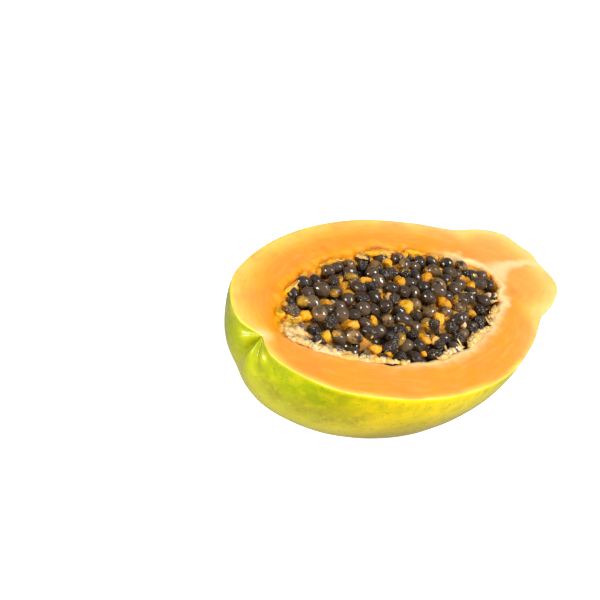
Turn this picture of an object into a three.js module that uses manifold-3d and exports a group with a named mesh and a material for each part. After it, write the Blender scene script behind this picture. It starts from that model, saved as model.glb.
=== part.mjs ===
import * as THREE from "three";
import { mergeVertices } from "three/addons/utils/BufferGeometryUtils.js";
import Module from "manifold-3d";

// Half of a ripe papaya, cut lengthwise and lying on its skin, with its seeds still in the cavity.
// Lengths are in millimetres. In the fruit's own frame X runs along the fruit from the flower end to
// the stem end, Y runs across the cut face, and Z stands square to it with the flesh below Z = 0.

const FRUIT_LENGTH = 155;
// Half of the cut face's outline, as [distance along, radius], from the pucker to the stem scar
const OUTLINE = [
  [3.2, 0], [-0.2, 9], [4.6, 21], [15.5, 32.2], [37.2, 42.2], [62, 46.8], [88.4, 45],
  [111.6, 36.8], [129.5, 27], [143.4, 22.7], [152.4, 17], [155, 9], [154, 0],
];
const DEPTH_RATIO = 1.06; // deeper than half a circle, because the knife passed a little off the middle
const CUT_HALF_WIDTH = 47;
const AXIS_BOW = -3.1; // how far the middle of the fruit bends to one side

// The skin draws in to a pleated pucker at the flower end: [angle round the fruit in degrees, depth]
const PLEATS = [
  [22, 1.0], [67, 3.4], [119, 1.9], [160, 0.9],
];
const PLEAT_HALF_WIDTH = THREE.MathUtils.degToRad(15);
const PLEAT_PEAK = 0.075; // where along the outline a pleat is deepest

// The seed cavity, a pointed bowl
const CAVITY_CENTRE_X = 68.5;
const CAVITY_HALF_LENGTH = 57.5;
const CAVITY_HALF_WIDTH = 29;
const CAVITY_DEPTH = 29;
const CAVITY_POINT = 1.4; // power of the sine across its rim: 1 is an ellipse, and more sharpens its ends
const RAGGED = 0.6; // torn tissue along the cavity's rim
// The waves of that tissue round the rim: [how many, shift, size]
const TEAR_WAVES = [
  [19, 1.3, 0.5], [31, 0.4, 0.3], [43, 2.1, 0.2],
];
const CLEARANCE = 0.35; // free gap between the seeds and the flesh

// The heap of seeds: the height of the seeds' middles over the cut face
const PILE_MIDDLE = 0.6;
const PILE_FALL = 3.2;
const PILE_JITTER = 1.1;
const SEED_LENGTH = 6.4;
const SEED_WIDTH = 5.4;
const SEED_SMALLEST = 0.9;
const SEED_LARGEST = 1.1;
const SEED_TILT = 0.6;
const SEED_SPACING = 4.65;
const SEED_FROM_WALL = 2.4;
const SEEDS_FROM_X = 22; // pulp fills the cavity before this
const SEED_SINK = 0.6; // the solid bed lies this far below the seeds' middles
const BED_OVERRUN = 1; // the bed is drawn this much past the wall, where the room cuts it off

// Strands of orange tissue that rise from the bowl between the seeds
const STRAND_COUNT = 18;
const STRAND_SPACING = 11;
const STRAND_FROM_SEED = 3.9;
const STRAND_FROM_WALL = 4;
const STRAND_REACH = 0.85; // outwardness beyond which no strand stands
const STRAND_RADIUS = 1.9;
const STRAND_RISE = 1.9; // over the middles of the seeds round it
const STRAND_SIDES = 6;
const ROOT = 2; // how far a strand, or the seeds' bed, is drawn into the flesh below the bowl
// The head of a strand: [share of its radius, height below its tip]
const STRAND_HEAD = [
  [0.8, 5], [1, 1.6], [0.55, 0.3], [0, 0],
];

// Torn pulp fills the cavity's end at the flower end, up to a little below the cut face
const PLUG_X = 13;
const PLUG_HALF_LENGTH = 6.5;
const PLUG_HALF_WIDTH = 12;
const PLUG_BOTTOM = -17;
const PLUG_TOP = -0.6;
const PLUG_SIDES = 12;

// How it lies: the stem end droops, the far side is raised, and the weight has pressed a small flat
const DROOP = THREE.MathUtils.degToRad(6);
const LEAN = THREE.MathUtils.degToRad(15);
const FLAT_DEPTH = 1.1;

// How finely the surfaces are divided
const ROWS = 48;
const COLUMNS = 24;
const FACE_RINGS = 2;
const BOWL_RINGS = 6;
const ROOM_SIDES = 48;
const ROOM_RINGS = 5;
const ROOM_HEIGHT = 12;
const BED_SIDES = 20;
const BED_RINGS = 3;
const SEED_SIDES = 6;
const SEED_RINGS = 3;
const SEARCH_ROWS = 400; // of the grid that finds the lowest point
const SEARCH_COLUMNS = 200;
const TRIES = 6000;
const RANDOM_SEED = 20;

const wasm = await Module();
wasm.setup();

// A small repeatable random source: numbers from 0 to 1 by a linear congruential rule
function randomSource(seed) {
  let state = seed;
  return () => {
    state = (Math.imul(state, 1664525) + 1013904223) >>> 0;
    return state / 4294967296;
  };
}

const outlineCurve = new THREE.SplineCurve(OUTLINE.map((point) => new THREE.Vector2(...point)));

function bow(along) {
  const share = along / FRUIT_LENGTH;
  return AXIS_BOW * 4 * share * (1 - share);
}

// How far the skin is drawn in from the smooth outline, at t along it and at an angle round it
function drawnIn(t, angle) {
  const share = t / PLEAT_PEAK;
  const across = (at) => Math.exp(-(((angle - THREE.MathUtils.degToRad(at)) / PLEAT_HALF_WIDTH) ** 2));
  const pleats = PLEATS.reduce((sum, [at, depth]) => sum + depth * across(at), 0);
  return pleats * (share * Math.exp(1 - share)) ** 2;
}

// A point of the skin: t from 0 at the pucker to 1 at the scar, angle from 0 to pi under the fruit
function skinPoint(t, angle) {
  const at = outlineCurve.getPoint(t);
  const along = outlineCurve.getTangent(t);
  const inward = drawnIn(t, angle);
  const x = at.x + along.y * inward;
  const radius = at.y - along.x * inward;
  return new THREE.Vector3(
    x,
    radius * Math.cos(angle) + bow(x),
    -DEPTH_RATIO * radius * Math.sin(angle),
  );
}

// Torn tissue: how far the rim is pushed out at an angle round the cavity, from -1 to 1. It fades at
// the cavity's two points.
function tear(angle) {
  const waves = TEAR_WAVES.map(([count, shift, size]) => size * Math.sin(count * angle + shift));
  return waves.reduce((sum, wave) => sum + wave, 0) * Math.min(1, 2 * Math.abs(Math.sin(angle)));
}

// A point of the cavity's wall: depth from 0 at the rim to 1 at the bottom, moved in by inset
function cavityPoint(angle, depth, inset, torn) {
  const shrink = Math.cos((depth * Math.PI) / 2);
  const across = Math.sign(Math.sin(angle)) * Math.abs(Math.sin(angle)) ** CAVITY_POINT;
  const push = torn * RAGGED * tear(angle) * (1 - depth) ** 3 - inset;
  const x = CAVITY_CENTRE_X + (CAVITY_HALF_LENGTH + push) * Math.cos(angle) * shrink;
  return new THREE.Vector3(
    x,
    bow(x) + (CAVITY_HALF_WIDTH + push) * across * shrink,
    -(CAVITY_DEPTH - inset) * Math.sin((depth * Math.PI) / 2),
  );
}

// Joins each loop of point numbers to the next. A loop of one number is a tip. The side that faces out
// is the one that sees the loops turn anticlockwise while they close in.
function stitch(loops) {
  const triangles = [];
  for (let i = 0; i + 1 < loops.length; i++) {
    const from = loops[i];
    const to = loops[i + 1];
    const count = Math.max(from.length, to.length);
    for (let k = 0; k < count; k++) {
      const next = (k + 1) % count;
      if (from.length === 1) triangles.push(from[0], to[next], to[k]);
      else if (to.length === 1) triangles.push(from[k], from[next], to[0]);
      else triangles.push(from[k], from[next], to[next], from[k], to[next], to[k]);
    }
  }
  return triangles;
}

function geometryOf(points, triangles) {
  const geometry = new THREE.BufferGeometry();
  geometry.setAttribute("position", new THREE.Float32BufferAttribute(points.flatMap((p) => p.toArray()), 3));
  geometry.setIndex(triangles);
  return geometry;
}

// A closed geometry as a manifold-3d solid, for joining and cutting
function solid(geometry) {
  const bare = geometry.clone();
  bare.deleteAttribute("normal");
  bare.deleteAttribute("uv");
  const merged = mergeVertices(bare);
  return new wasm.Manifold(
    new wasm.Mesh({
      numProp: 3,
      vertProperties: merged.getAttribute("position").array,
      triVerts: new Uint32Array(merged.index.array),
    }),
  );
}

function geometryFrom(made) {
  const mesh = made.getMesh();
  const geometry = new THREE.BufferGeometry();
  geometry.setAttribute("position", new THREE.BufferAttribute(mesh.vertProperties, 3));
  geometry.setIndex(new THREE.BufferAttribute(mesh.triVerts, 1));
  geometry.computeVertexNormals();
  return geometry;
}

// The cut edge as one loop of skin points: out along -Y and back along +Y
const edgeSpots = [];
for (let i = 0; i <= ROWS; i++) edgeSpots.push({ t: i / ROWS, angle: Math.PI });
for (let i = ROWS - 1; i > 0; i--) edgeSpots.push({ t: i / ROWS, angle: 0 });

// The angle round the cavity that faces each point of the cut edge
const cavityAngles = edgeSpots.map(({ t, angle }) => {
  const edge = skinPoint(t, angle);
  return Math.atan2((edge.y - bow(edge.x)) / CUT_HALF_WIDTH, (edge.x - CAVITY_CENTRE_X) / (FRUIT_LENGTH / 2));
});

// The skin with its flesh: the outside, the flat cut face with its torn inner rim, and the bowl
function fruitBody() {
  const points = [];
  const triangles = [];
  const add = (point) => points.push(point) - 1;
  const edgeLoop = edgeSpots.map(({ t, angle }) => add(skinPoint(t, angle)));
  const count = edgeLoop.length;

  // Rows of skin from the -Y edge to the +Y edge. The two poles are single points of the edge loop.
  const skinRows = [];
  for (let i = 0; i <= ROWS; i++) {
    const pole = i === 0 || i === ROWS;
    const row = [edgeLoop[i]];
    for (let j = 1; j < COLUMNS; j++)
      row.push(pole ? edgeLoop[i] : add(skinPoint(i / ROWS, Math.PI * (1 - j / COLUMNS))));
    row.push(pole ? edgeLoop[i] : edgeLoop[count - i]);
    skinRows.push(row);
  }
  for (let i = 0; i < ROWS; i++)
    for (let j = 0; j < COLUMNS; j++) {
      const [a, b] = [skinRows[i][j], skinRows[i][j + 1]];
      const [c, d] = [skinRows[i + 1][j], skinRows[i + 1][j + 1]];
      if (a !== b) triangles.push(a, b, d);
      if (c !== d) triangles.push(a, d, c);
    }

  // The cut face, and the bowl down to its lowest point
  const loops = [edgeLoop];
  for (let ring = 1; ring <= FACE_RINGS; ring++)
    loops.push(
      edgeSpots.map((spot, k) =>
        add(skinPoint(spot.t, spot.angle).lerp(cavityPoint(cavityAngles[k], 0, 0, 1), ring / FACE_RINGS)),
      ),
    );
  for (let ring = 1; ring < BOWL_RINGS; ring++)
    loops.push(cavityAngles.map((angle) => add(cavityPoint(angle, ring / BOWL_RINGS, 0, 1))));
  loops.push([add(cavityPoint(0, 1, 0, 1))]);
  return solid(geometryOf(points, triangles.concat(stitch(loops))));
}

// The room for the seeds: the cavity less the clearance, open above the cut face
function seedRoom() {
  const points = [];
  const add = (point) => points.push(point) - 1;
  const angles = Array.from({ length: ROOM_SIDES }, (_, k) => (k / ROOM_SIDES) * Math.PI * 2);
  const loops = [[add(cavityPoint(0, 1, CLEARANCE, 0))]];
  for (let ring = ROOM_RINGS - 1; ring >= 0; ring--) {
    const depth = ring / ROOM_RINGS;
    const gap = CLEARANCE + RAGGED * (1 - depth) ** 3;
    loops.push(angles.map((angle) => add(cavityPoint(angle, depth, gap, 0))));
  }
  loops.push(angles.map((angle) => add(cavityPoint(angle, 0, CLEARANCE + RAGGED, 0).setZ(ROOM_HEIGHT))));
  loops.push([add(new THREE.Vector3(CAVITY_CENTRE_X, 0, ROOM_HEIGHT))]);
  return solid(geometryOf(points, stitch(loops)));
}

// How far out a spot lies in the cavity: 0 at its middle and 1 at margin millimetres inside its rim
function outwardness(x, y, margin) {
  const along = (x - CAVITY_CENTRE_X) / (CAVITY_HALF_LENGTH - margin);
  const across = Math.abs(y - bow(x)) / (CAVITY_HALF_WIDTH - margin);
  return along ** 2 + across ** (2 / CAVITY_POINT);
}

function pileHeight(x, y) {
  return PILE_MIDDLE - PILE_FALL * outwardness(x, y, 0) ** 1.5;
}

// Spots scattered at random, kept where they are clear of each other and of the spots to avoid
function scatter(random, most, spacing, margin, reach, avoid, clear) {
  const spots = [];
  for (let n = 0; n < TRIES && spots.length < most; n++) {
    const x = CAVITY_CENTRE_X + (random() * 2 - 1) * CAVITY_HALF_LENGTH;
    const y = (random() * 2 - 1) * (CAVITY_HALF_WIDTH - AXIS_BOW);
    if (x < SEEDS_FROM_X || outwardness(x, y, margin) > reach) continue;
    if (avoid.some((s) => Math.hypot(s.x - x, s.y - y) < clear)) continue;
    if (spots.some((s) => Math.hypot(s.x - x, s.y - y) < spacing)) continue;
    spots.push({ x, y });
  }
  return spots;
}

const random = randomSource(RANDOM_SEED);
const strandSpots = scatter(random, STRAND_COUNT, STRAND_SPACING, STRAND_FROM_WALL, STRAND_REACH, [], 0);
const seedSpots = scatter(random, TRIES, SEED_SPACING, SEED_FROM_WALL, 1, strandSpots, STRAND_FROM_SEED);

// An upright column of tissue with a rounded head
function column(x, y, halfLength, halfWidth, bottom, top, sides) {
  const profile = STRAND_HEAD.map(([share, below]) => new THREE.Vector2(share, top - below));
  const foot = new THREE.Vector2(STRAND_HEAD[0][0], bottom);
  const geometry = new THREE.LatheGeometry([new THREE.Vector2(0, bottom), foot, ...profile], sides);
  geometry.rotateX(Math.PI / 2);
  geometry.scale(halfLength, halfWidth, 1);
  geometry.translate(x, y, 0);
  return solid(geometry);
}

// All the tissue in the cavity, grown by extra all round where it is used to cut the seeds clear of it
function tissue(extra) {
  const radius = STRAND_RADIUS + extra;
  const strands = strandSpots.map(({ x, y }) => {
    const top = pileHeight(x, y) + STRAND_RISE + extra;
    return column(x, y, radius, radius, -CAVITY_DEPTH - ROOT, top, STRAND_SIDES);
  });
  const halfLength = PLUG_HALF_LENGTH + extra;
  const halfWidth = PLUG_HALF_WIDTH + extra;
  const plug = column(PLUG_X, bow(PLUG_X), halfLength, halfWidth, PLUG_BOTTOM, PLUG_TOP + extra, PLUG_SIDES);
  return wasm.Manifold.union([plug, ...strands]);
}

// One seed: an egg of few faces, lying at random
function seed(spot) {
  const size = SEED_SMALLEST + (SEED_LARGEST - SEED_SMALLEST) * random();
  const lift = (random() * 2 - 1) * PILE_JITTER;
  const heading = random() * Math.PI * 2;
  const tilt = (random() * 2 - 1) * SEED_TILT;
  const geometry = new THREE.SphereGeometry(1, SEED_SIDES, SEED_RINGS);
  geometry.scale((SEED_WIDTH / 2) * size, (SEED_LENGTH / 2) * size, (SEED_WIDTH / 2) * size);
  geometry.rotateX(tilt);
  geometry.rotateZ(heading);
  geometry.translate(spot.x, spot.y, pileHeight(spot.x, spot.y) + lift);
  return solid(geometry);
}

// The bed that the seeds stand out of: everything below the heap's surface
function seedBed() {
  const points = [];
  const add = (point) => points.push(point) - 1;
  const floor = -CAVITY_DEPTH - ROOT;
  const circle = (share, z) =>
    Array.from({ length: BED_SIDES }, (_, k) => {
      const angle = (k / BED_SIDES) * Math.PI * 2;
      const x = CAVITY_CENTRE_X + (CAVITY_HALF_LENGTH + BED_OVERRUN) * share * Math.cos(angle);
      const y = bow(x) + (CAVITY_HALF_WIDTH + BED_OVERRUN) * share * Math.sin(angle);
      return add(new THREE.Vector3(x, y, z ?? pileHeight(x, y) - SEED_SINK));
    });
  const loops = [circle(0, floor).slice(0, 1), circle(1, floor)];
  for (let ring = BED_RINGS; ring > 0; ring--) loops.push(circle(ring / BED_RINGS));
  loops.push(circle(0).slice(0, 1));
  return solid(geometryOf(points, stitch(loops)));
}

// The fruit's own frame turned to how it lies. Its columns are the fruit's X, Y and Z in the row frame.
const lying = new THREE.Matrix4().makeRotationY(DROOP).multiply(new THREE.Matrix4().makeRotationX(LEAN));
const up = new THREE.Vector3(0, 0, 1).transformDirection(lying.clone().invert());

// The lowest point of the skin, by a search over a fine grid
let lowest = skinPoint(0.5, Math.PI / 2);
for (let i = 1; i < SEARCH_ROWS; i++)
  for (let j = 1; j < SEARCH_COLUMNS; j++) {
    const point = skinPoint(i / SEARCH_ROWS, (Math.PI * j) / SEARCH_COLUMNS);
    if (up.dot(point) < up.dot(lowest)) lowest = point;
  }

const flesh = fruitBody().add(tissue(0)).trimByPlane(up.toArray(), up.dot(lowest) + FLAT_DEPTH);
const heap = wasm.Manifold.union([seedBed(), ...seedSpots.map(seed)]);
const seeds = heap.intersect(seedRoom()).subtract(tissue(CLEARANCE));

const fruit = new THREE.Mesh(
  geometryFrom(flesh),
  new THREE.MeshStandardMaterial({ color: 0xf3a23c, roughness: 0.45, metalness: 0 }),
);
fruit.name = "papaya_half";

const seedHeap = new THREE.Mesh(
  geometryFrom(seeds),
  new THREE.MeshStandardMaterial({ color: 0x2b2420, roughness: 0.25, metalness: 0 }),
);
seedHeap.name = "seeds";

// The lowest point comes to the middle of the flat, which is the origin
const papaya = new THREE.Group();
papaya.add(fruit, seedHeap);
papaya.setRotationFromMatrix(lying);
papaya.position.copy(lowest).applyMatrix4(lying).negate();
papaya.position.z -= FLAT_DEPTH;

export default papaya;
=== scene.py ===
# %% [markdown]
# # Half a papaya
# A ripe papaya, cut lengthwise and lying on its skin, with its seeds still in the cavity. The packed
# model gives the true shape and place. This lesson dresses it: each new piece is a surface worked out
# with numpy, in the fruit's own frame, and is then laid down where the model lies.

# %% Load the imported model
import math

import bpy
import numpy as np
from mathutils import Matrix, Vector


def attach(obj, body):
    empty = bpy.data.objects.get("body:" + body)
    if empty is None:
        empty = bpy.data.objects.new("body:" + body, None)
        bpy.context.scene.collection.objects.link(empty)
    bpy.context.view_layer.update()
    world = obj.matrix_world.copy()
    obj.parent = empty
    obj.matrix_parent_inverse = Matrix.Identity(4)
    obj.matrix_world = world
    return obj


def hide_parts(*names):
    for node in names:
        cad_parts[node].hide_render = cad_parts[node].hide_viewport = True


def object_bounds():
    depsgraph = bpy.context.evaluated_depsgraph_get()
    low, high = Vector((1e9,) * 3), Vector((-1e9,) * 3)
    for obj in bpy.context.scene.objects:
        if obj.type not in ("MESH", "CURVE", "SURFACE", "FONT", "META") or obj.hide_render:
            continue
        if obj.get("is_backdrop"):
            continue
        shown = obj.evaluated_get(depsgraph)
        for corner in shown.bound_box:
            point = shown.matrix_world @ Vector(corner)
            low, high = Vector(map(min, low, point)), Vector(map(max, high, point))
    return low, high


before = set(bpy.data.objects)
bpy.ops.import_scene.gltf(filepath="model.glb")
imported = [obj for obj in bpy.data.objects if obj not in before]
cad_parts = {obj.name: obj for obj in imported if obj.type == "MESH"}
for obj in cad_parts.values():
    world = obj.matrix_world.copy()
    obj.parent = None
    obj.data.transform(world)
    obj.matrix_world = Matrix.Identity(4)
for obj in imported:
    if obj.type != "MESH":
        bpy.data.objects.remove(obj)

CAD_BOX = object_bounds()
print("nodes:", sorted(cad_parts))

# %% [markdown]
# ## Small helpers
# Lengths are in millimetres until a mesh is made. Colours are written as on a screen, in sRGB, and
# Blender wants them linear, so one function turns them. Random numbers come from seeded rules, so that
# every run scatters the seeds in the same places.

# %% Colour and chance
MM = 0.001


def linear(colour, alpha=1.0):
    """A #rrggbb colour as Blender's linear red, green, blue and alpha: ((c + 0.055) / 1.055) to the
    power 2.4, or c / 12.92 near black."""
    parts = np.array([int(colour[i : i + 2], 16) for i in (1, 3, 5)]) / 255
    low = parts / 12.92
    high = ((parts + 0.055) / 1.055) ** 2.4
    return (*np.where(parts <= 0.04045, low, high).tolist(), alpha)


def random_source(seed):
    """Numbers from 0 to 1: each state is the last one times 1664525 plus 1013904223, cut to 32 bits."""
    state = seed
    while True:
        state = (state * 1664525 + 1013904223) % 2**32
        yield state / 2**32


print("mid grey is", linear("#808080"))


# %% Smooth noise
def lattice(cells, seed):
    """A repeatable number from -1 to 1 for each whole-number cell: the fraction of a large sine."""
    value = np.sin(cells @ np.array([127.1, 311.7, 74.7]) + 17.3 * seed) * 43758.5453
    return 2 * (value - np.floor(value)) - 1


def noise(points, size, seed=0):
    """Smooth noise from about -1 to 1 at points in mm: the lattice numbers of the eight corners of the
    cube that holds a point, size mm wide, blended by the curve 3w² - 2w³."""
    cells = np.floor(points / size)
    share = points / size - cells
    share = share * share * (3 - 2 * share)
    total = np.zeros(points.shape[:-1])
    for corner in np.array(list(np.ndindex(2, 2, 2))):
        weight = np.where(corner, share, 1 - share).prod(-1)
        total += weight * lattice(cells + corner, seed)
    return total


def waves(points, layers):
    """A sum of noises: each layer is its height, the width of its cells in mm and its seed."""
    return sum(height * noise(points, size, seed) for height, size, seed in layers)


def soft_step(low, high, value):
    """0 at low and 1 at high, along 3w² - 2w³ between them."""
    share = np.clip((value - low) / (high - low), 0, 1)
    return share * share * (3 - 2 * share)


print("noise along a line:", noise(np.array([[x, 0, 0] for x in range(5)]), 1.7).round(2))

# %% [markdown]
# ## Meshes from grids of numbers
# A surface is a grid of points. Its faces join neighbours in the grid. Where a grid closes on itself or
# shrinks to a pole, the same point number simply stands in several places of the grid, so no seam is
# left open. Small shapes that are repeated, such as seeds and crumbs, are copies of one ball.

# %% Faces of a grid
def faces_of(numbers):
    """Faces of a grid of point numbers: a quad for each two rows and columns, or a triangle where two
    of its corners are one point."""
    corners = [numbers[:-1, :-1], numbers[:-1, 1:], numbers[1:, 1:], numbers[1:, :-1]]
    quads = np.stack(corners, -1).reshape(-1, 4)
    new = quads != np.roll(quads, 1, axis=1)
    whole = new.all(1)
    thin = new.sum(1) == 3
    return quads[whole].tolist() + quads[thin][new[thin]].reshape(-1, 3).tolist()


def ball(rows, columns):
    """Directions over a ball, poles on Y, and their grid of point numbers. Row i stands at the angle
    pi i / rows from the pole, and column j at 2 pi j / columns round it."""
    down = np.pi * np.arange(1, rows) / rows
    around = 2 * np.pi * np.arange(columns) / columns
    down, around = np.meshgrid(down, around, indexing="ij")
    middle = np.stack([np.sin(down) * np.cos(around), np.cos(down), -np.sin(down) * np.sin(around)], -1)
    points = np.vstack([[0, 1, 0], middle.reshape(-1, 3), [0, -1, 0]])
    numbers = np.empty((rows + 1, columns + 1), int)
    numbers[0] = 0
    numbers[rows] = len(points) - 1
    numbers[1:rows, :columns] = 1 + np.arange((rows - 1) * columns).reshape(rows - 1, columns)
    numbers[1:rows, columns] = numbers[1:rows, 0]
    return points, numbers[:, ::-1]


def copies(numbers, count, size):
    """The faces of count copies of one grid whose copies have size points each."""
    faces = faces_of(numbers)
    return [[number + k * size for number in face] for k in range(count) for face in faces]


# %% Mesh objects
def mesh_object(name, points, faces, attributes=()):
    """A smooth mesh object from points in mm in the row frame, with named attributes for its
    materials: one number a point, or three."""
    mesh = bpy.data.meshes.new(name)
    mesh.from_pydata((points * MM).tolist(), [], faces)
    for key, values in dict(attributes).items():
        kind = "FLOAT" if values.ndim == 1 else "FLOAT_VECTOR"
        field = "value" if values.ndim == 1 else "vector"
        data = mesh.attributes.new(key, kind, "POINT").data
        data.foreach_set(field, values.astype(np.float32).ravel())
    mesh.shade_smooth()
    mesh.update()
    piece = bpy.data.objects.new(name, mesh)
    bpy.context.scene.collection.objects.link(piece)
    print(f"{name}: {len(mesh.vertices)} points, {sum(len(f) - 2 for f in faces)} triangles")
    return piece


def dress(piece, materials, stands_for=None):
    """Give a piece its materials, let it ride on the fruit's one body, and hide the imported part that it
    stands for.
    """
    for material in materials:
        piece.data.materials.append(material)
    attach(piece, "root")
    if stands_for:
        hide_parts(stands_for)


# %% [markdown]
# ## The fruit's form
# The model was drawn from a few driving sizes: an outline turned round a slightly bent line, a pucker
# of pleats at the flower end, and a pointed bowl for the seeds. The same sizes and formulas are used
# here, so the dressed surface lies on the model, and only fine relief is added.

# %% Outline
FRUIT_LENGTH = 155
OUTLINE = np.array([
    [3.2, 0], [-0.2, 9], [4.6, 21], [15.5, 32.2], [37.2, 42.2], [62, 46.8], [88.4, 45],
    [111.6, 36.8], [129.5, 27], [143.4, 22.7], [152.4, 17], [155, 9], [154, 0],
])
AXIS_BOW = -3.1


def outline(t):
    """The outline at t from 0 to 1: a Catmull-Rom curve, whose slope at each point is half the step
    between its neighbours."""
    place = (len(OUTLINE) - 1) * np.clip(t, 0, 1)
    i = np.minimum(place.astype(int), len(OUTLINE) - 2)
    w = (place - i)[..., None]
    before, start, end, after = (OUTLINE[np.clip(i + k, 0, len(OUTLINE) - 1)] for k in (-1, 0, 1, 2))
    v0 = (end - before) / 2
    v1 = (after - start) / 2
    cubic = (2 * start - 2 * end + v0 + v1) * w**3
    return cubic + (-3 * start + 3 * end - 2 * v0 - v1) * w**2 + v0 * w + start


def bow(along):
    """How far the fruit's middle line is bent aside: a parabola that is 0 at both ends."""
    share = along / FRUIT_LENGTH
    return AXIS_BOW * 4 * share * (1 - share)


print("radius at a quarter, half and three quarters:", outline(np.array([0.25, 0.5, 0.75]))[:, 1].round(1))

# %% Skin
DEPTH_RATIO = 1.06
# A pleat's angle round the fruit in degrees, and how deep it is in mm
PLEATS = np.array([[22, 1.0], [67, 3.4], [119, 1.9], [160, 0.9]])
PLEAT_HALF_WIDTH = math.radians(15)
PLEAT_PEAK = 0.075
CREASE_ANGLE = math.radians(67)
CREASE_DEPTH = 1.2
CREASE_HALF_WIDTH = math.radians(4)
SOFT_PLEAT_ANGLE = math.radians(119)
SOFT_PLEAT_LIFT = 0.9
STALK_LUMP = {
    "y": 1.5, "radius": 5.0, "height": 2.8,
    "fades_in": (0.86, 0.95),
    "roughness": (0.2, 2.2, 5),
}


def pleats(t, angle):
    """How far the pleats draw the skin in: a bell across each pleat, times a hump along the outline."""
    share = t / PLEAT_PEAK
    across = np.exp(-(((angle[..., None] - np.radians(PLEATS[:, 0])) / PLEAT_HALF_WIDTH) ** 2))
    return (across * PLEATS[:, 1]).sum(-1) * (share * np.exp(1 - share)) ** 2


def pleat_relief(t, angle):
    """The deepest pleat has a sharp line at its bottom, e to the minus distance from it, and the
    third is filled in by a bell."""
    share = t / PLEAT_PEAK
    away = np.abs(angle - CREASE_ANGLE) / CREASE_HALF_WIDTH
    lift = np.exp(-(((angle - SOFT_PLEAT_ANGLE) / PLEAT_HALF_WIDTH) ** 2))
    return (SOFT_PLEAT_LIFT * lift - CREASE_DEPTH * np.exp(-away)) * (share * np.exp(1 - share)) ** 2


def stalk_lump(t, angle, at):
    """How far the stump of the stalk stands out of the scar along X: a bell round its middle, roughened
    by noise at the skin's points."""
    radius = outline(t)[..., 1]
    across = radius * np.cos(angle) - STALK_LUMP["y"]
    down = DEPTH_RATIO * radius * np.sin(angle)
    bell = np.exp(-(across**2 + down**2) / STALK_LUMP["radius"] ** 2)
    bell = bell * soft_step(*STALK_LUMP["fades_in"], t)
    return STALK_LUMP["height"] * bell * (1 + waves(at, [STALK_LUMP["roughness"]]))


def skin(t, angle, relief=0):
    """A point of the skin: the outline at t, moved inward along its normal by the pleats less the
    relief, and turned by the angle round the bent middle line, with its depth stretched."""
    at = outline(t)
    along = outline(t + 1e-4) - outline(t - 1e-4)
    along /= np.linalg.norm(along, axis=-1, keepdims=True)
    inward = pleats(t, angle) - relief
    x = at[..., 0] + along[..., 1] * inward
    radius = at[..., 1] - along[..., 0] * inward
    return np.stack([x, radius * np.cos(angle) + bow(x), -DEPTH_RATIO * radius * np.sin(angle)], -1)


straight_down = np.array([np.pi / 2])
print("half way along the outline the skin's lowest point is", skin(np.array([0.5]), straight_down).round(1))


# %% Cavity
CUT_HALF_WIDTH = 47
CAVITY_CENTRE_X = 68.5
CAVITY_HALF_LENGTH = 57.5
CAVITY_HALF_WIDTH = 29
CAVITY_DEPTH = 29
CAVITY_POINT = 1.4
RAGGED = 0.6
# A wave's count round the rim, its shift in radians and its share
TEAR_WAVES = [(19, 1.3, 0.5), (31, 0.4, 0.3), (43, 2.1, 0.2)]


def tear(angle):
    """Torn tissue on the rim, from -1 to 1: a sum of three sines that fades at the two points."""
    waves = sum(size * np.sin(count * angle + shift) for count, shift, size in TEAR_WAVES)
    return waves * np.minimum(1, 2 * np.abs(np.sin(angle)))


def cavity(angle, depth, push=0):
    """A point of the cavity's wall: depth 0 is the rim and 1 the bottom. The rim is x = A cos and
    y = B sin to a power, which sharpens its ends, and the wall shrinks by a cosine on the way down."""
    shrink = np.cos(depth * np.pi / 2)
    across = np.sign(np.sin(angle)) * np.abs(np.sin(angle)) ** CAVITY_POINT
    push = push + RAGGED * tear(angle) * (1 - depth) ** 3
    x = CAVITY_CENTRE_X + (CAVITY_HALF_LENGTH + push) * np.cos(angle) * shrink
    y = bow(x) + (CAVITY_HALF_WIDTH + push) * across * shrink
    return np.stack([x, y, -(CAVITY_DEPTH + push * depth) * np.sin(depth * np.pi / 2)], -1)


print("the cavity's points:", cavity(np.array([0, np.pi]), np.zeros(2)).round(1).tolist())


# %% [markdown]
# ## How it lies
# The fruit's own frame has X along it and the cut face level. On the table the stem end droops a
# little and the far side of the face is raised. The lowest point of the skin, pressed flat, is the
# origin.

# %% Lay a shape down
DROOP = math.radians(6)
LEAN = math.radians(15)
FLAT_DEPTH = 1.1
LYING = np.array(Matrix.Rotation(DROOP, 3, "Y") @ Matrix.Rotation(LEAN, 3, "X"))
t_search, angle_search = np.meshgrid(np.arange(1, 400) / 400, np.pi * np.arange(1, 200) / 200, indexing="ij")
search = skin(t_search, angle_search).reshape(-1, 3) @ LYING.T
SHIFT = -search[search[:, 2].argmin()] - [0, 0, FLAT_DEPTH]


def lay_down(points):
    """Points of the fruit's own frame in the row frame: turned, shifted, and pressed flat below 0."""
    laid = points @ LYING.T + SHIFT
    laid[..., 2] = np.maximum(laid[..., 2], 0)
    return laid


print("the fruit's frame starts at", SHIFT.round(2), "mm")

# %% [markdown]
# ## Camera, lights and floor
# The photograph looks down on the cut face from the flower end, with a long lens. The light is a white
# studio: a soft box high on the right puts one sharp window on every wet seed, a large panel overhead
# fills the cut face, a long low one in front lights the skin, and a small box and a shine card on the
# left give the pucker its gloss. Table and room are overexposed, so the camera sees them glow, while
# the fruit gets only the modest bounce of grey ones.

# %% Camera
PHOTO_AZIMUTH = math.radians(-46.4)
PHOTO_ELEVATION = math.radians(30.7)
PHOTO_ROLL = math.radians(6.9)
PHOTO_AIM = Vector((-20.9, 33.2, 37.9)) * MM
PHOTO_DISTANCE = 560 * MM
LENS = 88

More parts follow.
